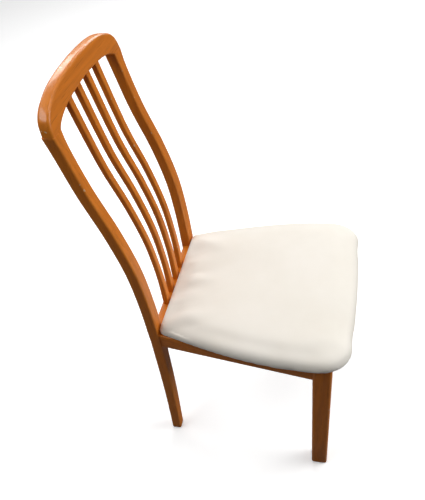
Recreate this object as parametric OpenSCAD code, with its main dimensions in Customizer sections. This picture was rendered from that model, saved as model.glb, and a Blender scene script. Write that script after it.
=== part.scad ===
// Dining chair with a high slatted back and an upholstered seat.
// The sitter faces -Y, X runs across the seat and +Z is up.
// The origin is on the floor, in the middle of the ground that the chair covers.
// Inside the modules Y is counted from the front face of the front legs.

/* [Seat frame] */
// Outside width across the front legs
front_w = 477; // [460:1:490]
// Outside width across the rear legs at the seat
rear_w = 367; // [355:1:380]
// From the front face of the front legs to the front face of the rear legs
frame_d = 412; // [400:1:425]
// Top of the seat rails above the floor
rail_top = 424; // [415:1:432]
// Height of the seat rails
rail_h = 42; // [40:1:48]
// Thickness of the seat rails
rail_t = 21; // [18:1:24]

/* [Legs] */
// Side of a front leg at the seat
leg_top = 43; // [40:1:45]
// Side of a front leg at the floor
leg_foot = 40; // [36:1:42]
// Width of a rear leg at the seat
post_w = 37; // [35:1:40]
// Depth of a rear leg and of its post
post_d = 26; // [24:1:30]
// How far the rear legs reach back at the floor
leg_kick = 16; // [10:1:24]

/* [Back] */
// Height of the joints between the crest rail and the posts
joint_z = 950; // [940:1:955]
// Top of the crest rail above the floor
crest_top = 1014; // [1000:1:1030]
// How far the back leans between the seat and the crest rail
back_rake = 81; // [72:1:90]
// Thickness of the crest rail
crest_t = 26; // [25:1:28]
// Width of a slat at mid height
slat_w = 15.5; // [14:0.5:17]
// Thickness of a slat
slat_t = 13; // [12:0.5:14]

/* [Seat pad] */
// Height of the pad's crown above the rails
pad_h = 34; // [30:1:40]
// How far the pad overhangs the frame at the front
pad_front = 43; // [36:1:50]

/* [Hidden] */

WOOD = "peru";
DARK_WOOD = "sienna";
STEEL = "silver";
CLOTH = "linen";

glide_h = 3;
corner_n = 4;
ring_step = 0.25;

// Where the back ends: the crest rail's rear face at its top
crest_lean = 8;
back_y = frame_d + back_rake + crest_lean + crest_t;
mid_y = (back_y - pad_front) / 2;

// Seat layers, from the rails up
hem_t = 1.2;
board_t = 9;
board_margin = 14;
hem_margin = 27;
cloth_t = 0.8;

// ---------- shared helpers ----------

// Smooth curve through a list of stations, at u = 0 .. len - 1
function curve(p, u) =
    let (last = len(p) - 1,
         i = min(floor(u), last - 1),
         t = u - i,
         a = p[max(i - 1, 0)],
         b = p[i],
         c = p[i + 1],
         d = p[min(i + 2, last)])
    b + 0.5 * t * ((c - a) + t * ((2 * a - 5 * b + 4 * c - d) + t * (3 * b - a - 3 * c + d)));

// Closed outline of a rectangle with rounded corners
function rounded(cx, cy, w, d, r) = [
    for (q = [0:3])
        for (i = [0:corner_n])
            let (a = 90 * (q + i / corner_n),
                 sx = (q == 0 || q == 3) ? 1 : -1,
                 sy = (q < 2) ? 1 : -1)
            [cx + sx * (w / 2 - r) + r * cos(a), cy + sy * (d / 2 - r) + r * sin(a)]
];

// One closed skin over a stack of outlines with equal point counts
module loft(rings) {
    m = len(rings[0]);
    n = len(rings);
    sides = [
        for (j = [0:n - 2])
            for (i = [0:m - 1])
                let (k = (i + 1) % m)
                each [
                    [j * m + i, (j + 1) * m + k, j * m + k],
                    [j * m + i, (j + 1) * m + i, (j + 1) * m + k]
                ]
    ];
    polyhedron(
        points = [for (ring = rings) each ring],
        faces = concat(
            [[for (i = [0:m - 1]) i]],
            sides,
            [[for (i = [m - 1:-1:0]) (n - 1) * m + i]]
        )
    );
}

module mirrored() {
    children();
    mirror([1, 0, 0]) children();
}

module placed() {
    translate([0, -mid_y, 0]) children();
}

// ---------- lines that the pieces share ----------

rail_bottom = rail_top - rail_h;
rear_half = rear_w / 2;
front_half = front_w / 2;
post_in = rear_half - post_w;
rail_inset = 4;
housing = 3;

// Rear leg and post: height, front face, inner face, width
POST = [
    [glide_h, frame_d + leg_kick, post_in + 10, post_w - 9],
    [rail_bottom * 0.5, frame_d + leg_kick * 0.35, post_in + 5, post_w - 4.5],
    [rail_bottom, frame_d, post_in, post_w],
    [rail_top, frame_d, post_in, post_w],
    [rail_top + 100, frame_d + back_rake * 0.01, post_in + 2, post_w - 2],
    [rail_top + 200, frame_d + back_rake * 0.095, post_in + 4, post_w - 4],
    [rail_top + 300, frame_d + back_rake * 0.34, post_in + 5, post_w - 6],
    [rail_top + 400, frame_d + back_rake * 0.695, post_in + 5, post_w - 8],
    [joint_z - 40, frame_d + back_rake * 0.92, post_in + 5, post_w - 8.5],
    [joint_z, frame_d + back_rake, post_in + 1.5, post_w - 1.5]
];
post_r = 4.5;

function post_ring(p) =
    [for (c = rounded(p[2] + p[3] / 2, p[1] + post_d / 2, p[3], post_d, post_r)) [c[0], c[1], p[0]]];

module post_body() {
    loft([for (u = [0:ring_step:len(POST) - 1]) post_ring(curve(POST, u))]);
}

// Side rail's outer face runs from the rear leg to the front leg
side_rear_x = rear_half - rail_inset;
side_front_x = front_half - rail_inset;
side_run = frame_d - leg_top;
side_lean = atan((side_front_x - side_rear_x) / side_run);
side_t = rail_t / cos(side_lean);

function side_x(y) = side_rear_x + (side_front_x - side_rear_x) * (frame_d - y) / side_run;

// Crest rail, right half: outer edge and inner edge, each as x and height
crest_low = crest_top - 40;
post_in_top = post_in + 1.5;
post_out_top = post_in + post_w;
CREST_OUT = [
    [0, crest_top],
    [58, crest_top - 2],
    [109, crest_top - 8],
    [150, crest_top - 20.5],
    [170, crest_top - 33],
    [179, crest_top - 46],
    [post_out_top, joint_z]
];
CREST_IN = [
    [0, crest_low],
    [45, crest_low - 1.5],
    [87, crest_low - 5],
    [116, crest_low - 10.5],
    [133, crest_low - 16],
    [142, crest_low - 20],
    [post_in_top, joint_z]
];
// Rounding of its corners: outer back, inner back, inner front, outer front
CREST_R = [9, 4, 4, 5.5];

function crest_y(z) = frame_d + back_rake + crest_lean * (z - joint_z) / (crest_top - joint_z);

// Outline across the crest rail: p runs from the inner to the outer edge, q from front to back
function crest_section(w) = [
    for (q = [0:3])
        for (i = [0:corner_n])
            let (a = 90 * (q + i / corner_n),
                 r = CREST_R[q],
                 cp = (q == 0 || q == 3) ? w - r : r,
                 cq = q < 2 ? crest_t - r : r)
            [cp + r * cos(a), cq + r * sin(a)]
];

function crest_ring(u) =
    let (side = u < 0 ? -1 : 1,
         o = curve(CREST_OUT, abs(u)),
         l = curve(CREST_IN, abs(u)),
         w = norm(o - l),
         d = (o - l) / w)
    [
        for (c = crest_section(w))
            let (x = side * (l[0] + d[0] * c[0]), z = l[1] + d[1] * c[0])
            [x, crest_y(z) + c[1], z]
    ];

module crest_body() {
    last = len(CREST_OUT) - 1;
    loft([for (u = [last:-ring_step:-last]) crest_ring(u)]);
}

// Slat: height, front face, distance from the middle, width, thickness
function slat_rows(foot_x, head_x) =
    let (dx = head_x - foot_x)
    [
        [rail_top - 12, frame_d + 2.5, foot_x, slat_w + 3, slat_t + 2],
        [rail_top + 20, frame_d + 2, foot_x, slat_w + 3, slat_t + 2],
        [rail_top + 100, frame_d + back_rake * 0.01 + 2.5, foot_x + dx * 0.3, slat_w + 0.5, slat_t + 0.5],
        [rail_top + 200, frame_d + back_rake * 0.095 + 4, foot_x + dx * 0.6, slat_w, slat_t],
        [rail_top + 300, frame_d + back_rake * 0.34 + 5, foot_x + dx * 0.8, slat_w, slat_t],
        [rail_top + 400, frame_d + back_rake * 0.695 + 5, foot_x + dx * 0.9, slat_w + 0.5, slat_t],
        [joint_z, frame_d + back_rake + 5, head_x, slat_w + 1, slat_t + 0.5],
        [crest_low + 6, crest_y(crest_low + 6) + 6, head_x, slat_w + 1, slat_t + 0.5]
    ];
slat_r = 3;

function slat_ring(p, grow) =
    [for (c = rounded(p[2], p[1] + p[4] / 2, p[3] + 2 * grow, p[4] + 2 * grow, slat_r + grow)) [c[0], c[1], p[0]]];

module slat_body(foot_x, head_x, grow, from, to) {
    rows = slat_rows(foot_x, head_x);
    loft([for (u = [from:ring_step:to]) slat_ring(curve(rows, u), grow)]);
}

OUTER_SLAT = [67, 72];
INNER_SLAT = [24, 24];
fit_gap = 0.1;

// The slats' ends, a little larger, for cutting their sockets
module slat_sockets(from, to) {
    for (s = [OUTER_SLAT, INNER_SLAT])
        mirrored()
            slat_body(s[0], s[1], fit_gap, from, to);
}

// Plan of the seat: pad, board and cloth share it, moved in by a margin
pad_back_y = frame_d - 0.4;
pad_rear_half = rear_half - 5;
pad_front_half = front_half + 8;
pad_bow = 20;
PAD_CORNER = 70;

function arc(cx, cy, r, a0, a1, n) = [for (i = [0:n]) let (a = a0 + (a1 - a0) * i / n) [cx + r * cos(a), cy + r * sin(a)]];

// Right half of the plan, from the middle of the front to the middle of the back
function half_plan(m) =
    let (rf = max(PAD_CORNER - m, 14),
         rr = max(18 - m * 0.2, 5),
         fy = -pad_front + m,
         by = pad_back_y - m,
         fx = pad_front_half - m,
         rx = pad_rear_half - m,
         y0 = fy + rf,
         y1 = by - rr)
    concat(
        [for (i = [0:3]) let (t = i / 4) [(fx - rf) * t, fy + 8 * t * t]],
        arc(fx - rf, y0 + 4, rf, -84, -4, 8),
        [for (i = [1:7]) let (t = i / 8) [fx + (rx - fx) * t + pad_bow * 4 * t * (1 - t) * (1 - 0.3 * t), y0 + (y1 - y0) * t]],
        arc(rx - rr, y1, rr, 6, 90, 4)
    );

function plan(m) =
    let (h = half_plan(m), n = len(h))
    concat(h, [for (i = [n - 1:-1:1]) [-h[i][0], h[i][1]]]);

function plan_ring(m, z) = [for (p = plan(m)) [p[0], p[1], z]];

// ---------- joinery that several pieces share ----------

dowel_r = 4;
crest_dowel_r = 3;
dowel_l = 32;
bore_gap = 0.05;
pin_r = 1.5;
pin_l = 14;
dowel_z = [rail_bottom + 12, rail_top - 12];
crest_dowel_x = [-6, 6];
post_mid_top = post_in_top + (post_out_top - post_in_top) / 2;
post_mid_foot = POST[0][2] + POST[0][3] / 2;
front_rail_y = 4;
rear_rail_y = frame_d;
front_rail_half = front_half - leg_top + housing;
rear_rail_half = post_in + housing;

module dowel(at, turn, r, l) {
    translate(at)
        rotate(turn)
            cylinder(r = r, h = l, center = true, $fn = 32);
}

module side_dowels(r, l) {
    for (z = dowel_z) {
        dowel([side_x(frame_d) - side_t / 2, frame_d, z], [90, 0, 0], r, l);
        dowel([side_x(leg_top) - side_t / 2, leg_top, z], [90, 0, 0], r, l);
    }
}

module front_dowels(r, l) {
    for (z = dowel_z)
        dowel([front_half - leg_top, front_rail_y + rail_t / 2, z - 5], [0, 90, 0], r, l);
}

module rear_dowels(r, l) {
    for (z = dowel_z)
        dowel([post_in, rear_rail_y + rail_t / 2, z - 5], [0, 90, 0], r, l);
}

module crest_dowels_half(r, l) {
    for (x = crest_dowel_x)
        dowel([post_mid_top + x, frame_d + back_rake + post_d / 2, joint_z], [0, 0, 0], r, l);
}

module glide_pins(r, l) {
    translate([front_half - leg_top / 2, leg_top / 2, glide_h])
        cylinder(r = r, h = l, $fn = 24);
    translate([post_mid_foot, frame_d + leg_kick + post_d / 2, glide_h])
        cylinder(r = r, h = l, $fn = 24);
}

// Right side rail's blank, its ends housed in the legs
module side_rail_blank() {
    y0 = leg_top - housing;
    y1 = frame_d + housing;
    translate([0, 0, rail_bottom])
        linear_extrude(rail_h)
            polygon([
                [side_x(y1), y1],
                [side_x(y0), y0],
                [side_x(y0) - side_t, y0],
                [side_x(y1) - side_t, y1]
            ]);
}

module front_rail_blank() {
    translate([-front_rail_half, front_rail_y, rail_bottom])
        cube([2 * front_rail_half, rail_t, rail_h]);
}

module rear_rail_blank() {
    translate([-rear_rail_half, rear_rail_y, rail_bottom])
        cube([2 * rear_rail_half, rail_t, rail_h]);
}

// ---------- legs ----------

module rear_leg() {
    difference() {
        post_body();
        side_rail_blank();
        rear_rail_blank();
        side_dowels(dowel_r + bore_gap, dowel_l + 2);
        rear_dowels(dowel_r + bore_gap, dowel_l + 2);
        crest_dowels_half(crest_dowel_r + bore_gap, dowel_l + 2);
        glide_pins(pin_r + bore_gap, 2 * pin_l);
    }
}

leg_r = 6;

function leg_ring(z, side) =
    let (c = front_half - side / 2 - (leg_top - side) / 2)
    [for (p = rounded(c, leg_top / 2, side, side, leg_r)) [p[0], p[1], z]];

module front_leg() {
    difference() {
        loft([leg_ring(glide_h, leg_foot), leg_ring(rail_bottom, leg_top), leg_ring(rail_top, leg_top)]);
        side_rail_blank();
        front_rail_blank();
        side_dowels(dowel_r + bore_gap, dowel_l + 2);
        front_dowels(dowel_r + bore_gap, dowel_l + 2);
        glide_pins(pin_r + bore_gap, 2 * pin_l);
    }
}

module rear_leg_right() {
    color(WOOD) placed() mirror([1, 0, 0]) rear_leg();
}

module rear_leg_left() {
    color(WOOD) placed() rear_leg();
}

module front_leg_right() {
    color(WOOD) placed() mirror([1, 0, 0]) front_leg();
}

module front_leg_left() {
    color(WOOD) placed() front_leg();
}

// ---------- back ----------

module crest_rail() {
    color(WOOD)
        placed()
            difference() {
                crest_body();
                slat_sockets(6, 7);
                mirrored() crest_dowels_half(crest_dowel_r + bore_gap, dowel_l + 2);
            }
}

module slat(s, side) {
    color(WOOD)
        placed()
            mirror([side < 0 ? 1 : 0, 0, 0])
                slat_body(s[0], s[1], 0, 0, 7);
}

module slat_1() { slat(OUTER_SLAT, -1); }
module slat_2() { slat(INNER_SLAT, -1); }
module slat_3() { slat(INNER_SLAT, 1); }
module slat_4() { slat(OUTER_SLAT, 1); }

// ---------- seat frame ----------

screw_r = 2;
screw_head_r = 4;
screw_head_h = 2.5;
screw_l = 38;
block_h = 28;
block_top = rail_top - 1;
block_leg = 46;

module side_rail() {
    difference() {
        side_rail_blank();
        side_dowels(dowel_r + bore_gap, dowel_l + 2);
        block_screw_set(screw_r + bore_gap);
    }
}

module side_rail_right() {
    color(WOOD) placed() mirror([1, 0, 0]) side_rail();
}

module side_rail_left() {
    color(WOOD) placed() side_rail();
}

module front_seat_rail() {
    color(WOOD)
        placed()
            difference() {
                front_rail_blank();
                mirrored() front_dowels(dowel_r + bore_gap, dowel_l + 2);
            }
}

module rear_seat_rail() {
    color(WOOD)
        placed()
            difference() {
                rear_rail_blank();
                slat_sockets(0, 1);
                mirrored() rear_dowels(dowel_r + bore_gap, dowel_l + 2);
            }
}

// Corner blocks: each lies against the side rail's inner face, just inside a leg
front_block_y = leg_top + 4;
rear_block_y = frame_d - 1;

function inner_x(y) = side_x(y) - side_t;

module block_plan(y, dir) {
    polygon([
        [inner_x(y), y],
        [inner_x(y + dir * block_leg), y + dir * block_leg],
        [inner_x(y) - block_leg, y]
    ]);
}

module block_body(y, dir) {
    translate([0, 0, block_top - block_h])
        linear_extrude(block_h)
            block_plan(y, dir);
}

// One screw through each block into the side rail, and one up into the seat board
block_screw_z = block_top - block_h / 2;

block_screw_rows = [front_block_y + 20, rear_block_y - 20];
block_screw_out = 27;

module block_screw_set(r) {
    for (y = block_screw_rows)
        translate([inner_x(y) - block_screw_out, y, block_screw_z])
            rotate([0, 90, 0])
                cylinder(r = r, h = screw_l, $fn = 24);
}

seat_screw_rows = [front_block_y + 30, rear_block_y - 30];
seat_screw_z = block_top - block_h;

module seat_screw_set(r) {
    for (y = seat_screw_rows)
        translate([inner_x(y) - 7, y, seat_screw_z])
            cylinder(r = r, h = screw_l, $fn = 24);
}

module screw_head() {
    translate([0, 0, -screw_head_h])
        cylinder(r = screw_head_r, h = screw_head_h, $fn = 24);
}

module block(y, dir) {
    difference() {
        block_body(y, dir);
        block_screw_set(screw_r + bore_gap);
        seat_screw_set(screw_r + bore_gap);
    }
}

module block_front_right() {
    color(DARK_WOOD) placed() mirror([1, 0, 0]) block(front_block_y, 1);
}

module block_front_left() {
    color(DARK_WOOD) placed() block(front_block_y, 1);
}

module block_rear_right() {
    color(DARK_WOOD) placed() mirror([1, 0, 0]) block(rear_block_y, -1);
}

module block_rear_left() {
    color(DARK_WOOD) placed() block(rear_block_y, -1);
}

// ---------- seat ----------

// Stack of seat outlines, each given as margin and height
module seat_loft(rows) {
    loft([for (r = rows) plan_ring(r[0], r[1])]);
}

pad_base = rail_top + hem_t;
pad_top = rail_top + pad_h;
cover_t = 1.2;

// Margins and heights of the pad's outside, from its lower edge to the crown
function pad_rows(m, drop) = [
    [9 + m, pad_base],
    [3 + m, pad_base + 4],
    [m, pad_base + 13],
    [3 + m, pad_base + 20.5 - drop],
    [12 + m, pad_base + 25.5 - drop],
    [36 + m, pad_top - 4.5 - drop],
    [80 + m, pad_top - 1.5 - drop],
    [130 + m, pad_top - drop]
];

// Staples lie along the hem, under the board's edge
staple_w = 9;
staple_wire = 0.8;
staple_leg = 6;
staple_line = plan(20);
staple_step = 3;
staple_gap = 0.1;

module staple_set(grow) {
    n = len(staple_line);
    wire = staple_wire + 2 * grow;
    low = -3 * grow;
    for (i = [0:staple_step:n - 1]) {
        p = staple_line[i];
        q = staple_line[(i + 1) % n];
        translate([p[0], p[1], rail_top + staple_gap])
            rotate([0, 0, atan2(q[1] - p[1], q[0] - p[0])]) {
                translate([-staple_w / 2 - grow, -wire / 2, low])
                    cube([staple_w + 2 * grow, wire, staple_wire + grow - low]);
                for (x = [-staple_w / 2 - grow, staple_w / 2 + grow - wire])
                    translate([x, -wire / 2, low])
                        cube([wire, wire, staple_leg + grow - low]);
            }
    }
}

module seat_board() {
    color("burlywood")
        placed()
            difference() {
                translate([0, 0, pad_base])
                    linear_extrude(board_t)
                        polygon(plan(board_margin));
                mirrored() seat_screw_set(screw_r + bore_gap);
                staple_set(staple_gap);
            }
}

// The foam is hollowed underneath to take the board
module seat_foam() {
    m = board_margin - 0.1;
    z = pad_base + board_t + 0.1;
    color("khaki")
        placed()
            seat_loft(concat([[m, z], [m, pad_base]], pad_rows(cover_t + 0.2, cover_t + 0.2)));
}

// The cover is one skin: down inside from the crown, in under the board, then up outside
module seat_cover() {
    inner = pad_rows(cover_t, cover_t);
    color(CLOTH)
        placed()
            difference() {
                seat_loft(concat(
                    [for (i = [len(inner) - 1:-1:0]) inner[i]],
                    [[hem_margin, pad_base], [hem_margin, rail_top], [9, rail_top]],
                    pad_rows(0, 0)
                ));
                staple_set(staple_gap);
            }
}

module dust_cloth() {
    color("dimgray")
        placed()
            difference() {
                translate([0, 0, pad_base - cloth_t])
                    linear_extrude(cloth_t)
                        polygon(plan(hem_margin + 1));
                mirrored() seat_screw_set(screw_r + 0.3);
            }
}

// ---------- fasteners ----------

module cover_staples() {
    color(STEEL) placed() staple_set(0);
}

module seat_screws() {
    color(STEEL)
        placed()
            mirrored()
                for (y = seat_screw_rows)
                    translate([inner_x(y) - 7, y, seat_screw_z])
                        union() {
                            cylinder(r = screw_r, h = screw_l, $fn = 24);
                            screw_head();
                        }
}

module block_screws() {
    color(STEEL)
        placed()
            mirrored()
                for (y = block_screw_rows)
                    translate([inner_x(y) - block_screw_out, y, block_screw_z])
                        rotate([0, 90, 0])
                            union() {
                                cylinder(r = screw_r, h = screw_l, $fn = 24);
                                screw_head();
                            }
}

module side_rail_dowels() {
    color("wheat") placed() mirrored() side_dowels(dowel_r, dowel_l);
}

module front_rail_dowels() {
    color("wheat") placed() mirrored() front_dowels(dowel_r, dowel_l);
}

module rear_rail_dowels() {
    color("wheat") placed() mirrored() rear_dowels(dowel_r, dowel_l);
}

module crest_dowels() {
    color("wheat") placed() mirrored() crest_dowels_half(crest_dowel_r, dowel_l);
}

glide_r = 9;

module foot_glides() {
    color("black")
        placed()
            mirrored() {
                translate([front_half - leg_top / 2, leg_top / 2, 0])
                    cylinder(r = glide_r, h = glide_h, $fn = 48);
                translate([post_mid_foot, frame_d + leg_kick + post_d / 2, 0])
                    cylinder(r = glide_r, h = glide_h, $fn = 48);
                glide_pins(pin_r, pin_l);
            }
}

// ---------- the chair ----------

rear_leg_left();
rear_leg_right();
front_leg_left();
front_leg_right();
crest_rail();
slat_1();
slat_2();
slat_3();
slat_4();
rear_seat_rail();
front_seat_rail();
side_rail_left();
side_rail_right();
block_front_left();
block_front_right();
block_rear_left();
block_rear_right();
seat_board();
seat_foam();
seat_cover();
dust_cloth();
cover_staples();
seat_screws();
block_screws();
side_rail_dowels();
front_rail_dowels();
rear_rail_dowels();
crest_dowels();
foot_glides();
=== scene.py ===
"""Looks for a high-backed dining chair: an oiled wood frame, four slats and a cloth-covered pad."""

import math

import bmesh
import bpy
import numpy as np
from mathutils import Matrix, Vector, noise


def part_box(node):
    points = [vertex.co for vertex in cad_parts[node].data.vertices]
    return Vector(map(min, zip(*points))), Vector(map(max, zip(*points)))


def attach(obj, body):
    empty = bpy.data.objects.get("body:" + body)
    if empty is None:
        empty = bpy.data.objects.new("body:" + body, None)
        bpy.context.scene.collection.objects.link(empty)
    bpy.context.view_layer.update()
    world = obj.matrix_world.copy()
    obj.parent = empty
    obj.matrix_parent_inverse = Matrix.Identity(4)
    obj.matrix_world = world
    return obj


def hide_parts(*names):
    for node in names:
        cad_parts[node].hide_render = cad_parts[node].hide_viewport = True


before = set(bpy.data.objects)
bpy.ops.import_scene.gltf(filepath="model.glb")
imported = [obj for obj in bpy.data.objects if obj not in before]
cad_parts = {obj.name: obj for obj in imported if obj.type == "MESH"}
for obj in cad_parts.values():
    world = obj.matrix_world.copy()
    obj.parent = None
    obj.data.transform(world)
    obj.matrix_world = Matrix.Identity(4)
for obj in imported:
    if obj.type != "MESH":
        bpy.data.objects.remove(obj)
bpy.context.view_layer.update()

# ---------- places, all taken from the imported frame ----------

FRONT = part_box("front_leg_left")[0][1]
TENON = 0.003  # how far the side rails run into the legs
SEAT_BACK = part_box("side_rail_left")[1][1] - TENON
RAIL_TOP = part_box("rear_seat_rail")[1][2]
RAIL_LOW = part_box("rear_seat_rail")[0][2]
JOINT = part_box("rear_leg_left")[1][2]
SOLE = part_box("rear_leg_left")[0][2]
CREST_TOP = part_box("crest_rail")[1][2]
LEG_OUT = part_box("front_leg_left")[1][0]
RAKE = 0.081
POST_DEEP = 0.026
CREST_THICK = 0.026
CREST_LEAN = 0.008
POST_INNER = 0.1465
FRONT_LEG_WIDE = 0.043
RAIL_THICK = 0.021
STEPS = 8
CREST_STEPS = 9


# ---------- wood pieces ----------


def along(rows, u):
    """The row at place u of a smooth curve through a list of rows."""
    i = min(int(u), len(rows) - 2)
    t = u - i
    a, b, c, d = (rows[max(0, min(k, len(rows) - 1))] for k in (i - 1, i, i + 1, i + 2))
    return [
        q + 0.5 * t * ((r - p) + t * ((2 * p - 5 * q + 4 * r - s) + t * (3 * q - p - 3 * r + s)))
        for p, q, r, s in zip(a, b, c, d)
    ]


def sections(rows):
    """The rows with evenly spaced ones between them, on the same smooth line."""
    return [along(rows, k / STEPS) for k in range(STEPS * (len(rows) - 1) + 1)]


def round_section(quad, rounds, segments):
    """A four-cornered section with each corner rounded by its own radius."""
    corners = [Vector(c) for c in quad]
    ring = []
    for k, (corner, r) in enumerate(zip(corners, rounds)):
        back = (corners[k - 1] - corner).normalized()
        on = (corners[(k + 1) % 4] - corner).normalized()
        hub = corner + r * (back + on)
        for j in range(segments + 1):
            t = math.pi / 2 * j / segments
            ring.append(hub - r * (on * math.cos(t) + back * math.sin(t)))
    return ring


def soften_end(ring, beyond, r):
    """Three sections that round an end over: beyond is the next section inwards."""
    mid = sum(ring, Vector()) / len(ring)
    inwards = (sum(beyond, Vector()) / len(beyond) - mid).normalized()
    size = min((v - mid).length for v in ring)
    return [
        [mid + (v - mid) * (1 - inset * r / size) + inwards * depth * r for v in ring]
        for inset, depth in ((1, 0), (0.3, 0.3), (0, 1))
    ]


def draw_out(bm, rings):
    """Draws an end face out from section to section, and returns the lines of points along it."""
    face = bm.faces.new([bm.verts.new(c) for c in rings[0]])
    lines = [[v] for v in face.verts]
    for k, ring in enumerate(rings[1:]):
        grown = bmesh.ops.extrude_face_region(bm, geom=[face])["geom"]
        if k:
            bm.faces.remove(face)
        fresh = [g for g in grown if isinstance(g, bmesh.types.BMVert)]
        for line in lines:
            last = line[-1].co
            line.append(min(fresh, key=lambda v: (v.co - last).length_squared))
        for line, place in zip(lines, ring):
            line[-1].co = place
        face = next(
            g for g in grown
            if isinstance(g, bmesh.types.BMFace) and all(v in fresh for v in g.verts)
        )
    return lines


def stick(name, quads, rounds, end_round=0.0, segments=6, rubbed_and_highlight_face=None):
    """A length of wood with a rounding for each of its four long arrises, and softened ends.

    Rubbing from hands and a painted highlight are marked on the arrises, and on the whole of one face if it
    is named.
    """
    rings = [round_section(quad, rounds, segments) for quad in quads]
    if end_round:
        first = soften_end(rings[0], rings[1], end_round)
        last = soften_end(rings[-1], rings[-2], end_round)
        rings = first + rings[1:-1] + last[::-1]
    bm = bmesh.new()
    arris = bm.verts.layers.float.new("arris")
    for k, line in enumerate(draw_out(bm, rings)):
        corner, step = divmod(k, segments + 1)
        strength = math.sin(math.pi * step / segments)
        # the named face is marked whole, for the painted highlight as well as rubbing
        if rubbed_and_highlight_face is not None and (corner, step) in (
            (rubbed_and_highlight_face, segments), (rubbed_and_highlight_face + 1, 0)
        ):
            strength = 1
        for v in line:
            v[arris] = strength
    bmesh.ops.recalc_face_normals(bm, faces=bm.faces)
    for f in bm.faces:
        f.smooth = True
    for e in bm.edges:
        e.smooth = e.calc_face_angle(0) < 0.8
    mesh = bpy.data.meshes.new(name)
    bm.to_mesh(mesh)
    bm.free()
    piece = bpy.data.objects.new(name, mesh)
    bpy.context.collection.objects.link(piece)
    return piece


def upright_quad(cx, y, z, w, d):
    """Corners of a level cut through an upright piece whose front face is at y."""
    return [(cx - w / 2, y, z), (cx + w / 2, y, z), (cx + w / 2, y + d, z), (cx - w / 2, y + d, z)]


def rear_leg(name, side):
    """Rear leg and back post in one S-curved length, thinner towards both ends."""
    inner = POST_INNER
    rows = [
        [SOLE, 0.016, inner + 0.010, 0.028],
        [RAIL_LOW * 0.5, 0.0056, inner + 0.005, 0.0325],
        [RAIL_LOW, 0, inner, 0.037],
        [RAIL_TOP, 0, inner, 0.037],
        [RAIL_TOP + 0.1, RAKE * 0.01, inner + 0.002, 0.035],
        [RAIL_TOP + 0.2, RAKE * 0.095, inner + 0.004, 0.033],
        [RAIL_TOP + 0.3, RAKE * 0.34, inner + 0.005, 0.031],
        [RAIL_TOP + 0.4, RAKE * 0.695, inner + 0.005, 0.029],
        [JOINT - 0.04, RAKE * 0.92, inner + 0.005, 0.0285],
        [JOINT, RAKE, inner + 0.0015, 0.0355],
    ]
    quads = []
    for z, y, x, w in sections(rows):
        quads.append(upright_quad(side * (x + w / 2), SEAT_BACK + y, z, w, POST_DEEP))
    return stick(name, quads, [0.0045] * 4, end_round=0.0007)


def front_leg(name, side):
    """Front leg, square with well rounded corners, slightly slimmer at the floor."""
    cx = side * (LEG_OUT - FRONT_LEG_WIDE / 2)
    quads = []
    for z, w in ((SOLE, 0.040), (0.13, 0.041), (0.26, 0.042), (RAIL_LOW, 0.043), (RAIL_TOP, 0.043)):
        quads.append(upright_quad(cx, FRONT + FRONT_LEG_WIDE / 2 - w / 2, z, w, w))
    return stick(name, quads, [0.006] * 4, end_round=0.0022)


def crest_y(z):
    return SEAT_BACK + RAKE + CREST_LEAN * (z - JOINT) / (CREST_TOP - JOINT)


def crest_rail():
    """Arched board: its section is drawn along the arch, its outer arrises rounded most."""
    low = CREST_TOP - 0.040
    outer = [
        [0, CREST_TOP], [0.058, CREST_TOP - 0.002], [0.109, CREST_TOP - 0.008],
        [0.150, CREST_TOP - 0.0205], [0.170, CREST_TOP - 0.033], [0.179, CREST_TOP - 0.046],
        [0.1835, JOINT],
    ]
    inner = [
        [0, low], [0.045, low - 0.0015], [0.087, low - 0.005], [0.116, low - 0.0105],
        [0.133, low - 0.016], [0.142, low - 0.020], [0.148, JOINT],
    ]
    quads = []
    reach = CREST_STEPS * (len(outer) - 1)
    for k in range(-reach, reach + 1):
        side = -1 if k < 0 else 1
        u = abs(k) / CREST_STEPS
        (xo, zo), (xi, zi) = along(outer, u), along(inner, u)
        quads.append([
            (side * xi, crest_y(zi), zi),
            (side * xo, crest_y(zo), zo),
            (side * xo, crest_y(zo) + CREST_THICK, zo),
            (side * xi, crest_y(zi) + CREST_THICK, zi),
        ])
    # the crest's top face gets the painted highlight band along with rubbing wear
    return stick("crest", quads, [0.004, 0.0055, 0.009, 0.004], end_round=0.0007, rubbed_and_highlight_face=1)


def slat(name, foot, head):
    """Back slat: thickest at the seat, bowed like the posts, let into rail and crest."""
    run = head - foot
    low = CREST_TOP - 0.034
    rows = [
        [RAIL_TOP - 0.012, 0.0025, foot, 0.0185, 0.015],
        [RAIL_TOP + 0.02, 0.002, foot, 0.0185, 0.015],
        [RAIL_TOP + 0.1, RAKE * 0.01 + 0.0025, foot + run * 0.3, 0.016, 0.0135],
        [RAIL_TOP + 0.2, RAKE * 0.095 + 0.004, foot + run * 0.6, 0.0155, 0.013],
        [RAIL_TOP + 0.3, RAKE * 0.34 + 0.005, foot + run * 0.8, 0.0155, 0.013],
        [RAIL_TOP + 0.4, RAKE * 0.695 + 0.005, foot + run * 0.9, 0.016, 0.013],
        [JOINT, RAKE + 0.005, head, 0.0165, 0.0135],
        [low, crest_y(low) - SEAT_BACK + 0.006, head, 0.0165, 0.0135],
    ]
    quads = []
    for z, y, x, w, d in sections(rows):
        quads.append(upright_quad(x, SEAT_BACK + y, z, w, d))
    return stick(name, quads, [0.003] * 4)


def side_rail(name, side):
    """Side rail: it spreads towards the front and runs between the legs, a little inside them."""
    rear_x, front_x = 0.1795, LEG_OUT - 0.004
    leg_back = FRONT + FRONT_LEG_WIDE
    run = SEAT_BACK - leg_back
    thick = RAIL_THICK / math.cos(math.atan((front_x - rear_x) / run))
    quads = []
    for k in range(9):
        y = leg_back - TENON + (run + 2 * TENON) * k / 8
        x = rear_x + (front_x - rear_x) * (SEAT_BACK - y) / run
        quads.append([
            (side * x, y, RAIL_LOW), (side * (x - thick), y, RAIL_LOW),
            (side * (x - thick), y, RAIL_TOP), (side * x, y, RAIL_TOP),
        ])
    return stick(name, quads, [0.0022] * 4, segments=3)


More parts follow.
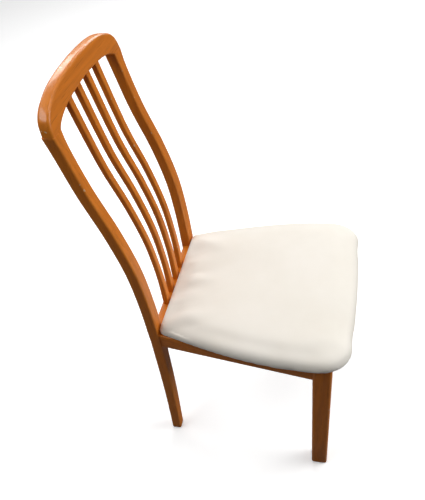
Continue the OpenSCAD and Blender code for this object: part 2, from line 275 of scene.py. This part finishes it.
def cross_rail(name, node):
    """Straight rail across the seat, in the box of its CAD node."""
    lo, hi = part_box(node)
    quads = []
    for k in range(7):
        x = lo[0] + (hi[0] - lo[0]) * k / 6
        quads.append([(x, lo[1], lo[2]), (x, hi[1], lo[2]), (x, hi[1], hi[2]), (x, lo[1], hi[2])])
    return stick(name, quads, [0.0022] * 4, segments=3)


# ---------- seat pad ----------


def arc(cx, cy, r, a0, a1, n):
    turns = (math.radians(a0 + (a1 - a0) * i / n) for i in range(n + 1))
    return [(cx + r * math.cos(a), cy + r * math.sin(a)) for a in turns]


def seat_outline(margin):
    """Outline of the pad moved in by a margin: bowed sides, round front corners, tighter rear ones."""
    rf, rr = 0.070 - margin, 0.018 - margin * 0.2
    fy, by = FRONT - 0.043 + margin, SEAT_BACK - 0.0004 - margin
    fx, rx = LEG_OUT + 0.008 - margin, 0.1785 - margin
    y0, y1 = fy + rf, by - rr
    half = [((fx - rf) * t, fy + 0.008 * t * t) for t in (i / 8 for i in range(8))]
    half += arc(fx - rf, y0 + 0.004, rf, -84, -4, 14)
    for t in (i / 16 for i in range(1, 16)):
        bow = 0.020 * 4 * t * (1 - t) * (1 - 0.3 * t)
        half.append((fx + (rx - fx) * t + bow, y0 + (y1 - y0) * t))
    half += arc(rx - rr, y1, rr, 6, 90, 6)
    return half + [(-x, y) for x, y in half[:0:-1]]


def outline_face(bm, margin, z):
    return bm.faces.new([bm.verts.new((x, y, z)) for x, y in seat_outline(margin)])


def inward(points, outline):
    """How far each point lies inside the outline."""
    a = np.array(outline)
    b = np.roll(a, -1, axis=0)
    ab = b - a
    best = np.full(len(points), 1e9)
    for p, d in zip(a, ab):
        t = np.clip(((points - p) @ d) / (d @ d), 0, 1)
        best = np.minimum(best, np.linalg.norm(points - p - t[:, None] * d, axis=1))
    return best


def coords(mesh):
    flat = np.empty(len(mesh.vertices) * 3)
    mesh.vertices.foreach_get("co", flat)
    return flat.reshape(-1, 3)


def set_coords(mesh, places):
    mesh.vertices.foreach_set("co", places.ravel())
    mesh.update()


def applied(piece, name):
    """A plain mesh of the piece as its modifiers leave it."""
    graph = bpy.context.evaluated_depsgraph_get()
    mesh = bpy.data.meshes.new_from_object(piece.evaluated_get(graph))
    mesh.name = name
    return mesh


PAD_BASE = RAIL_TOP + 0.0004
PAD_EDGE_TOP = RAIL_TOP + 0.0235
PAD_CROWN = 0.0105
PAD_SWELL = 0.004
BLANK_MARGIN = -0.004
EVEN_ROUNDS = 30
CLOTH_FRAMES = 20


def pad_blank():
    """The pad before it swells: outline drawn up, both rims rounded, remeshed and crowned."""
    bm = bmesh.new()
    face = outline_face(bm, BLANK_MARGIN, PAD_BASE)
    grown = bmesh.ops.extrude_face_region(bm, geom=[face])["geom"]
    bmesh.ops.translate(
        bm, vec=(0, 0, PAD_EDGE_TOP - PAD_BASE),
        verts=[g for g in grown if isinstance(g, bmesh.types.BMVert)],
    )
    bmesh.ops.recalc_face_normals(bm, faces=bm.faces)
    level = (PAD_BASE + PAD_EDGE_TOP) / 2
    for rim, r in (("top", 0.0150), ("bottom", 0.004)):
        above = rim == "top"
        edges = [
            e for e in bm.edges
            if all((v.co.z > level) == above for v in e.verts) and e.calc_face_angle(0) > 1.2
        ]
        bmesh.ops.bevel(
            bm, geom=edges, offset=r, segments=5, profile=0.5, affect="EDGES",
            clamp_overlap=True, loop_slide=True, material=-1,
        )
    mesh = bpy.data.meshes.new("pad_blank")
    bm.to_mesh(mesh)
    bm.free()
    piece = bpy.data.objects.new("pad_blank", mesh)
    bpy.context.collection.objects.link(piece)
    remesh = piece.modifiers.new("even", "REMESH")
    remesh.mode = "VOXEL"
    remesh.voxel_size = 0.005
    piece.modifiers.new("settle", "SMOOTH").iterations = 7
    even = applied(piece, "pad_even")
    piece.modifiers.clear()
    piece.data = even
    p = coords(even)
    depth = inward(p[:, :2], seat_outline(BLANK_MARGIN))
    upper = np.clip((p[:, 2] - PAD_BASE) / (PAD_EDGE_TOP - PAD_BASE), 0, 1)
    p[:, 2] += PAD_CROWN * (1 - np.exp(-depth / 0.045)) * upper**2
    set_coords(even, p)
    return piece


def spread(mesh, moved, rounds):
    """Evens out each point's movement with its neighbours', so that no pucker stays sharp."""
    ends = np.empty(len(mesh.edges) * 2, dtype=np.int64)
    mesh.edges.foreach_get("vertices", ends)
    a, b = ends[0::2], ends[1::2]
    count = np.bincount(ends, minlength=len(moved))[:, None]
    for _ in range(rounds):
        total = np.zeros_like(moved)
        np.add.at(total, a, moved[b])
        np.add.at(total, b, moved[a])
        moved = (moved + total) / (count + 1)
    return moved


def swell(piece):
    """Lets the cloth fill out under pressure, held flat underneath.

    The movement is evened out between neighbours and capped before it is used.
    """
    start = coords(piece.data)
    held = piece.vertex_groups.new(name="held")
    low = np.nonzero(start[:, 2] < PAD_BASE + 0.004)[0]
    held.add(low.tolist(), 1.0, "REPLACE")
    cloth = piece.modifiers.new("cloth", "CLOTH")
    s = cloth.settings
    s.quality = 5
    s.mass = 0.25
    s.tension_stiffness = s.compression_stiffness = 12
    s.shear_stiffness = 6
    s.bending_stiffness = 0.8
    s.vertex_group_mass = "held"
    s.use_pressure = True
    s.uniform_pressure_force = 4
    s.effector_weights.gravity = 0
    cloth.collision_settings.use_collision = False
    cloth.point_cache.frame_start, cloth.point_cache.frame_end = 1, CLOTH_FRAMES
    for step in range(1, CLOTH_FRAMES + 1):
        bpy.context.scene.frame_set(step)
    mesh = applied(piece, "pad_swollen")
    piece.modifiers.clear()
    piece.vertex_groups.clear()
    bpy.context.scene.frame_set(1)
    moved = spread(mesh, coords(mesh) - start, EVEN_ROUNDS)
    far = np.linalg.norm(moved, axis=1, keepdims=True)
    soft_cap = PAD_SWELL * np.tanh(far / PAD_SWELL) / np.maximum(far, 1e-9)
    set_coords(mesh, start + moved * soft_cap)
    piece.data = mesh


def lay_folds(mesh):
    """Soft folds of the cloth near the back edge, and slack ripples that fade into the seat."""
    p = coords(mesh)
    top = p[:, 2] > PAD_BASE + 0.018
    back = SEAT_BACK - p[:, 1]
    for i in np.nonzero(top)[0]:
        x, y, b = p[i, 0], p[i, 1], back[i]
        fade = math.exp(-(((b - 0.05) / 0.045) ** 2))
        ripple = noise.noise(Vector((x * 27 + y * 6, y * 5, 3.1)))
        slack = noise.noise(Vector((x * 9, y * 9, 7.7)))
        p[i, 2] += 0.0075 * fade * ripple + 0.0013 * slack
    set_coords(mesh, p)


def seat_cushion():
    piece = pad_blank()
    swell(piece)
    lay_folds(piece.data)
    p = coords(piece.data)
    p[:, 1] = np.minimum(p[:, 1], SEAT_BACK - 0.0006)
    p[:, 2] = np.maximum(p[:, 2], PAD_BASE)
    set_coords(piece.data, p)
    for f in piece.data.polygons:
        f.use_smooth = True
    piece.name = "cushion"
    piece.data.name = "cushion"
    rounder = piece.modifiers.new("rounder", "SUBSURF")
    rounder.levels = rounder.render_levels = 1
    return piece


LINING_MARGIN = 0.028


def lining_under_seat():
    """Thin black lining stretched flat under the board, clear of the rails and blocks below it."""
    bm = bmesh.new()
    lo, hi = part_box("dust_cloth")
    face = outline_face(bm, LINING_MARGIN, lo[2])
    bm.normal_update()
    cut_area = face.calc_area()
    grown = bmesh.ops.extrude_face_region(bm, geom=[face])["geom"]
    bmesh.ops.translate(
        bm, vec=(0, 0, hi[2] - lo[2]), verts=[g for g in grown if isinstance(g, bmesh.types.BMVert)]
    )
    bmesh.ops.recalc_face_normals(bm, faces=bm.faces)
    mesh = bpy.data.meshes.new("lining")
    bm.to_mesh(mesh)
    bm.free()
    piece = bpy.data.objects.new("lining", mesh)
    bpy.context.collection.objects.link(piece)
    return piece, cut_area


# ---------- finishes ----------


def put(tree, kind, links=None, **facts):
    """Adds a node, sets its facts, and fills its inputs with values or with other nodes' outputs."""
    n = tree.nodes.new(kind)
    for key, value in facts.items():
        setattr(n, key, value)
    for key, value in (links or {}).items():
        if isinstance(value, bpy.types.NodeSocket):
            tree.links.new(value, n.inputs[key])
        else:
            n.inputs[key].default_value = value
    return n


def effect(name, takes, gives):
    """An empty shader group with named inputs and outputs."""
    tree = bpy.data.node_groups.new(name, "ShaderNodeTree")
    for label, kind, value in takes:
        s = tree.interface.new_socket(label, in_out="INPUT", socket_type="NodeSocket" + kind)
        if value is not None:
            s.default_value = value
    for label, kind in gives:
        tree.interface.new_socket(label, in_out="OUTPUT", socket_type="NodeSocket" + kind)
    return tree, tree.nodes.new("NodeGroupInput").outputs, tree.nodes.new("NodeGroupOutput").inputs


def math_node(tree, operation, a, b=0.0, clamp=False):
    return put(tree, "ShaderNodeMath", {0: a, 1: b}, operation=operation, use_clamp=clamp).outputs[0]


def ranged(tree, value, low, high, to_low=0.0, to_high=1.0):
    return put(
        tree, "ShaderNodeMapRange",
        {"Value": value, "From Min": low, "From Max": high, "To Min": to_low, "To Max": to_high},
    ).outputs[0]


def mixed(tree, factor, a, b, blend="MIX"):
    n = tree.nodes.new("ShaderNodeMix")
    n.data_type, n.blend_type = "RGBA", blend
    for key, value in ((0, factor), (6, a), (7, b)):
        if isinstance(value, bpy.types.NodeSocket):
            tree.links.new(value, n.inputs[key])
        else:
            n.inputs[key].default_value = value
    return n.outputs[2]


def mottled(tree, vector, scale, detail):
    return put(
        tree, "ShaderNodeTexNoise", {"Vector": vector, "Scale": scale, "Detail": detail}
    ).outputs["Fac"]


def stretched_noise(tree, vector, scale, size, detail=3.0, rough=0.55):
    drawn = put(tree, "ShaderNodeMapping", {"Vector": vector, "Scale": scale}).outputs[0]
    return put(
        tree, "ShaderNodeTexNoise",
        {"Vector": drawn, "Scale": size, "Detail": detail, "Roughness": rough},
    ).outputs["Fac"]


def wood_figure():
    """Figure of oiled wood whose grain runs along Z: growth bands, streaks and fine pores."""
    tree, i, o = effect(
        "wood_figure",
        [("Vector", "Vector", None), ("Light", "Color", (0.5, 0.2, 0.05, 1)),
         ("Dark", "Color", (0.2, 0.06, 0.01, 1)), ("Bands", "Float", 0.45)],
        [("Color", "Color"), ("Streak", "Float"), ("Pores", "Float"), ("Height", "Float")],
    )
    v = i["Vector"]
    wander = put(tree, "ShaderNodeTexNoise", {"Vector": v, "Scale": 5.0, "Detail": 2.0}).outputs["Color"]
    pushed = put(
        tree, "ShaderNodeVectorMath", {0: wander, 1: (0.03, 0.03, 0.0)}, operation="MULTIPLY"
    ).outputs[0]
    bent = put(tree, "ShaderNodeVectorMath", {0: v, 1: pushed}, operation="ADD").outputs[0]
    flat = put(tree, "ShaderNodeMapping", {"Vector": bent, "Scale": (1.0, 0.7, 0.05)}).outputs[0]
    bands = put(
        tree, "ShaderNodeTexWave",
        {"Vector": flat, "Scale": 46.0, "Distortion": 5.0, "Detail": 4.0, "Detail Scale": 1.8,
         "Detail Roughness": 0.6},
        wave_type="BANDS", bands_direction="DIAGONAL",
    ).outputs["Fac"]
    streak = stretched_noise(tree, bent, (75.0, 75.0, 2.2), 1.0, 5.0)
    broad = stretched_noise(tree, v, (9.0, 9.0, 2.0), 1.0, 2.0)
    pores = ranged(tree, stretched_noise(tree, v, (620.0, 620.0, 16.0), 1.0, 2.0), 0.60, 0.74)
    figured = math_node(
        tree, "ADD",
        math_node(tree, "MULTIPLY", bands, i["Bands"]),
        math_node(tree, "MULTIPLY", ranged(tree, streak, 0.3, 0.7), 0.45),
    )
    tone = math_node(tree, "ADD", figured, ranged(tree, broad, 0.3, 0.7, -0.12, 0.2), clamp=True)
    body = mixed(tree, tone, i["Dark"], i["Light"])
    pored = mixed(
        tree, math_node(tree, "MULTIPLY", pores, 0.45), body, (0.10, 0.028, 0.006, 1)
    )
    height = math_node(
        tree, "SUBTRACT", math_node(tree, "MULTIPLY", streak, 0.4), math_node(tree, "MULTIPLY", pores, 0.7)
    )
    for label, socket in (("Color", pored), ("Streak", streak), ("Pores", pores), ("Height", height)):
        tree.links.new(socket, o[label])
    return tree


def edge_wear_and_highlight():
    """Wear and painted highlight on arrises: lighter all along, partly rubbing and partly a painted
    highlight, with a few small knocks through the finish.
    """
    tree, i, o = effect(
        "edge_wear_and_highlight",
        [("Vector", "Vector", None), ("Arris", "Float", 0.0)],
        [("RubbedAndHighlight", "Float"), ("Knocks", "Float")],
    )
    patch = mottled(tree, i["Vector"], 38.0, 3.0)
    # painted highlight mixed with rubbing: the arris mask, broken into patches, marks where arrises are
    # lightened
    rubbed_and_highlight = math_node(tree, "MULTIPLY", i["Arris"], ranged(tree, patch, 0.3, 0.7, 0.35, 1.0))
    spots = mottled(tree, i["Vector"], 120.0, 1.0)
    knocks = math_node(tree, "MULTIPLY", i["Arris"], ranged(tree, spots, 0.735, 0.76))
    tree.links.new(rubbed_and_highlight, o["RubbedAndHighlight"])
    tree.links.new(knocks, o["Knocks"])
    return tree


def woven():
    """Plain weave on the seat: threads over and under, slubs and a little soiling."""
    tree, i, o = effect(
        "woven",
        [("Vector", "Vector", None), ("Threads", "Float", 900.0)],
        [("Weave", "Float"), ("Slubs", "Float"), ("Cloud", "Float")],
    )
    parts = put(tree, "ShaderNodeSeparateXYZ", {0: i["Vector"]}).outputs
    across = math_node(tree, "ADD", parts["X"], math_node(tree, "MULTIPLY", parts["Z"], 0.9))
    down = math_node(tree, "ADD", parts["Y"], math_node(tree, "MULTIPLY", parts["Z"], 0.9))
    turn = math_node(tree, "MULTIPLY", i["Threads"], math.pi)
    warp = math_node(tree, "SINE", math_node(tree, "MULTIPLY", across, turn))
    weft = math_node(tree, "SINE", math_node(tree, "MULTIPLY", down, turn))
    crossed = ranged(tree, math_node(tree, "MULTIPLY", warp, weft), -1.0, 1.0)
    slubs = stretched_noise(tree, i["Vector"], (700.0, 60.0, 60.0), 1.0, 2.0)
    cloud = mottled(tree, i["Vector"], 7.0, 3.0)
    for label, socket in (("Weave", crossed), ("Slubs", slubs), ("Cloud", cloud)):
        tree.links.new(socket, o[label])
    return tree


WOOD_FIGURE = wood_figure()
EDGE_WEAR_AND_HIGHLIGHT = edge_wear_and_highlight()
WOVEN = woven()


def new_finish(name):
    mat = bpy.data.materials.new(name)
    mat.use_nodes = True
    tree = mat.node_tree
    return mat, tree, tree.nodes["Principled BSDF"]


def placed_effect(tree, shared, links):
    n = tree.nodes.new("ShaderNodeGroup")
    n.node_tree = shared
    for key, value in links.items():
        if isinstance(value, bpy.types.NodeSocket):
            tree.links.new(value, n.inputs[key])
        else:
            n.inputs[key].default_value = value
    return n.outputs


def wood(name, turn=(0, 0, 0), light=(0.84, 0.245, 0.012, 1), dark=(0.54, 0.142, 0.005, 1),
         bands=0.14, gloss=0.40, coat=0.04):
    """Oiled wood; turn brings the piece's length onto the figure's own Z."""
    mat, tree, shader = new_finish(name)
    place = put(tree, "ShaderNodeTexCoord").outputs["Object"]
    turned = put(tree, "ShaderNodeMapping", {"Vector": place, "Rotation": turn}).outputs[0]
    figure = placed_effect(
        tree, WOOD_FIGURE, {"Vector": turned, "Light": light, "Dark": dark, "Bands": bands}
    )
    arris = put(tree, "ShaderNodeAttribute", attribute_name="arris").outputs["Fac"]
    wear_and_highlight = placed_effect(tree, EDGE_WEAR_AND_HIGHLIGHT, {"Vector": place, "Arris": arris})
    # painted highlight and rubbing wear: arrises, and the crest's whole top face, are lightened toward a pale
    # orange
    rubbed_and_highlight = mixed(
        tree, math_node(tree, "MULTIPLY", wear_and_highlight["RubbedAndHighlight"], 0.42), figure["Color"], (0.86, 0.29, 0.03, 1)
    )
    knocked = mixed(tree, wear_and_highlight["Knocks"], rubbed_and_highlight, (0.70, 0.47, 0.26, 1))
    rough = ranged(tree, figure["Streak"], 0.2, 0.8, gloss - 0.05, gloss + 0.08)
    rough = math_node(tree, "ADD", rough, math_node(tree, "MULTIPLY", figure["Pores"], 0.2))
    height = math_node(tree, "SUBTRACT", figure["Height"], math_node(tree, "MULTIPLY", wear_and_highlight["Knocks"], 2.0))
    bump = put(tree, "ShaderNodeBump", {"Strength": 0.25, "Distance": 0.0004, "Height": height})
    tree.links.new(knocked, shader.inputs["Base Color"])
    tree.links.new(rough, shader.inputs["Roughness"])
    tree.links.new(bump.outputs[0], shader.inputs["Normal"])
    polish = math_node(tree, "ADD", coat, math_node(tree, "MULTIPLY", wear_and_highlight["RubbedAndHighlight"], 0.5), clamp=True)
    tree.links.new(polish, shader.inputs["Coat Weight"])
    shader.inputs["Coat Roughness"].default_value = 0.13
    shader.inputs["Specular IOR Level"].default_value = 0.28
    return mat


def seat_cloth():
    mat, tree, shader = new_finish("cream_cloth")
    place = put(tree, "ShaderNodeTexCoord").outputs["Object"]
    weave = placed_effect(tree, WOVEN, {"Vector": place, "Threads": 1000.0})
    base = mixed(tree, ranged(tree, weave["Cloud"], 0.3, 0.7), (0.85, 0.805, 0.72, 1), (0.90, 0.86, 0.785, 1))
    threads = mixed(
        tree, math_node(tree, "MULTIPLY", weave["Weave"], 0.10), base, (0.60, 0.55, 0.46, 1), "MIX"
    )
    slubbed = mixed(
        tree, ranged(tree, weave["Slubs"], 0.55, 0.8, 0.0, 0.10), threads, (0.93, 0.89, 0.81, 1)
    )
    tree.links.new(slubbed, shader.inputs["Base Color"])
    rough = ranged(tree, weave["Weave"], 0.0, 1.0, 0.78, 0.92)
    tree.links.new(rough, shader.inputs["Roughness"])
    height = math_node(tree, "ADD", weave["Weave"], math_node(tree, "MULTIPLY", weave["Slubs"], 0.8))
    bump = put(tree, "ShaderNodeBump", {"Strength": 0.3, "Distance": 0.0003, "Height": height})
    tree.links.new(bump.outputs[0], shader.inputs["Normal"])
    shader.inputs["Sheen Weight"].default_value = 0.25
    shader.inputs["Sheen Roughness"].default_value = 0.5
    return mat


def speckled(name, tone, other, rough, grain, metallic=0.0):
    """Plain inner finish with a fine mottle: lining, foam, plastic, zinc or wire."""
    mat, tree, shader = new_finish(name)
    place = put(tree, "ShaderNodeTexCoord").outputs["Object"]
    mottle = mottled(tree, place, grain, 4.0)
    tree.links.new(mixed(tree, ranged(tree, mottle, 0.35, 0.65), tone, other), shader.inputs["Base Color"])
    tree.links.new(ranged(tree, mottle, 0.3, 0.7, rough - 0.06, rough + 0.08), shader.inputs["Roughness"])
    bump = put(tree, "ShaderNodeBump", {"Strength": 0.2, "Distance": 0.0002, "Height": mottle})
    tree.links.new(bump.outputs[0], shader.inputs["Normal"])
    shader.inputs["Metallic"].default_value = metallic
    return mat


QUARTER = math.pi / 2
UPRIGHT_WOOD = wood("teak_upright")
CROSS_WOOD = wood("teak_cross", turn=(0, QUARTER, 0))
DEEP_WOOD = wood("teak_deep", turn=(QUARTER, 0, 0))
BLOCK_WOOD = wood(
    "block_beech", light=(0.60, 0.40, 0.22, 1), dark=(0.44, 0.27, 0.13, 1), bands=0.3, gloss=0.55, coat=0.0
)
DOWEL_WOOD = wood(
    "dowel_beech", light=(0.66, 0.48, 0.29, 1), dark=(0.52, 0.36, 0.2, 1), bands=0.2, gloss=0.6, coat=0.0
)
BOARD_WOOD = wood(
    "board_birch", turn=(QUARTER, 0, 0), light=(0.62, 0.45, 0.27, 1), dark=(0.5, 0.34, 0.19, 1),
    bands=0.35, gloss=0.6, coat=0.0,
)
CREAM_CLOTH = seat_cloth()
BLACK_LINING = speckled("black_lining", (0.012, 0.012, 0.013, 1), (0.035, 0.034, 0.033, 1), 0.85, 1500)
GLIDE_PLASTIC = speckled("glide_plastic", (0.03, 0.026, 0.022, 1), (0.055, 0.048, 0.04, 1), 0.5, 500)
ZINC = speckled("zinc", (0.62, 0.60, 0.55, 1), (0.5, 0.48, 0.42, 1), 0.35, 900, metallic=1.0)
WIRE = speckled("wire", (0.6, 0.6, 0.6, 1), (0.48, 0.48, 0.48, 1), 0.3, 900, metallic=1.0)


# ---------- putting the chair together ----------


def stands_for(piece, finish, slot, *nodes):
    piece.data.materials.clear()
    piece.data.materials.append(finish)
    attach(piece, "root")
    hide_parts(*nodes)


for side, hand in ((1, "left"), (-1, "right")):
    stands_for(rear_leg("back_post_" + hand, side), UPRIGHT_WOOD, "oiled_teak", "rear_leg_" + hand)
    stands_for(front_leg("leg_front_" + hand, side), UPRIGHT_WOOD, "oiled_teak", "front_leg_" + hand)
    stands_for(side_rail("rail_side_" + hand, side), DEEP_WOOD, "oiled_teak", "side_rail_" + hand)
stands_for(crest_rail(), CROSS_WOOD, "oiled_teak", "crest_rail")
SLAT_ENDS = ((-0.067, -0.072), (-0.024, -0.024), (0.024, 0.024), (0.067, 0.072))
for number, (foot, head) in enumerate(SLAT_ENDS, 1):
    stands_for(slat(f"back_slat_{number}", foot, head), UPRIGHT_WOOD, "oiled_teak", f"slat_{number}")
stands_for(cross_rail("rail_rear", "rear_seat_rail"), CROSS_WOOD, "oiled_teak", "rear_seat_rail")
stands_for(cross_rail("rail_front", "front_seat_rail"), CROSS_WOOD, "oiled_teak", "front_seat_rail")

cushion = seat_cushion()
stands_for(cushion, CREAM_CLOTH, "cover_cloth", "seat_cover", "seat_foam")

lining, lining_area = lining_under_seat()
stands_for(lining, BLACK_LINING, "black_lining", "dust_cloth")

KEPT = {
    "block_front_left": BLOCK_WOOD, "block_front_right": BLOCK_WOOD,
    "block_rear_left": BLOCK_WOOD, "block_rear_right": BLOCK_WOOD,
    "seat_board": BOARD_WOOD, "cover_staples": WIRE, "seat_screws": ZINC, "block_screws": ZINC,
    "side_rail_dowels": DOWEL_WOOD, "front_rail_dowels": DOWEL_WOOD,
    "rear_rail_dowels": DOWEL_WOOD, "crest_dowels": DOWEL_WOOD, "foot_glides": GLIDE_PLASTIC,
}
for node, finish in KEPT.items():
    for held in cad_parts[node].material_slots:
        held.material = finish


# ---------- floor, light and camera ----------


def floor():
    bm = bmesh.new()
    bmesh.ops.create_grid(bm, x_segments=1, y_segments=1, size=20)
    mesh = bpy.data.meshes.new("floor")
    bm.to_mesh(mesh)
    bm.free()
    ground = bpy.data.objects.new("floor", mesh)
    bpy.context.collection.objects.link(ground)
    mat, tree, shader = new_finish("pale_floor")
    seen = put(tree, "ShaderNodeLightPath").outputs["Is Camera Ray"]
    tree.links.new(mixed(tree, seen, (0.2, 0.2, 0.2, 1), (0.98, 0.98, 0.98, 1)), shader.inputs["Base Color"])
    shader.inputs["Roughness"].default_value = 0.9
    shader.inputs["Specular IOR Level"].default_value = 0.1
    shader.inputs["Emission Color"].default_value = (1, 1, 1, 1)
    tree.links.new(ranged(tree, seen, 0.0, 1.0, 0.0, 0.3), shader.inputs["Emission Strength"])
    mesh.materials.append(mat)


def soft_light(name, place, aim, wide, deep, power):
    data = bpy.data.lights.new(name, "AREA")
    data.shape, data.size, data.size_y, data.energy = "RECTANGLE", wide, deep, power
    lamp = bpy.data.objects.new(name, data)
    lamp.location = place
    lamp.rotation_mode = "QUATERNION"
    lamp.rotation_quaternion = (Vector(aim) - Vector(place)).to_track_quat("-Z", "Y")
    bpy.context.collection.objects.link(lamp)


def camera():
    """High three-quarter view from the sitter's right, tilted, with the lens raised a little."""
    yaw, pitch, roll = (math.radians(a) for a in (70.0567, 47.271, -10.5969))
    ahead = Vector((math.sin(yaw) * math.cos(pitch), math.cos(yaw) * math.cos(pitch), -math.sin(pitch)))
    level = ahead.cross(Vector((0, 0, 1))).normalized()
    rise = level.cross(ahead)
    right = math.cos(roll) * level + math.sin(roll) * rise
    up = -math.sin(roll) * level + math.cos(roll) * rise
    data = bpy.data.cameras.new("camera")
    data.sensor_width = 36
    data.lens = 36 * 548.58 / 500
    data.shift_y = 0.13
    eye = bpy.data.objects.new("camera", data)
    eye.matrix_world = Matrix.Translation((-0.9549, -0.2557, 1.4083)) @ Matrix(
        (right, up, -ahead)
    ).transposed().to_4x4()
    bpy.context.collection.objects.link(eye)
    bpy.context.scene.camera = eye


floor()
soft_light("window", (1.0, -4.1, 2.2), (0, 0, 0.6), 2.6, 2.0, 113)
soft_light("side_window", (3.4, 0.25, 2.3), (0, 0.1, 0.7), 2.2, 1.1, 52)
soft_light("sky_panel", (-0.6, 1.4, 2.7), (0, 0.3, 0.9), 2.0, 0.7, 28)
soft_light("back_window", (1.4, 1.5, 1.95), (0, 0.3, 0.95), 1.4, 0.5, 14)
sky = bpy.data.lights.new("even_daylight", "SUN")
sky.energy, sky.angle = 0.95, math.radians(40)
overhead = bpy.data.objects.new("even_daylight", sky)
overhead.rotation_euler = (math.radians(18), math.radians(16), 0)
bpy.context.collection.objects.link(overhead)
world = bpy.data.worlds.new("daylight")
world.use_nodes = True
world.node_tree.nodes["Background"].inputs["Color"].default_value = (1, 1, 1, 1)
seen_directly = put(world.node_tree, "ShaderNodeLightPath").outputs["Is Camera Ray"]
sky_strength = ranged(world.node_tree, seen_directly, 0.0, 1.0, 0.09, 0.95)
world.node_tree.links.new(sky_strength, world.node_tree.nodes["Background"].inputs["Strength"])
bpy.context.scene.world = world
bpy.context.scene.view_settings.view_transform = "Standard"
camera()
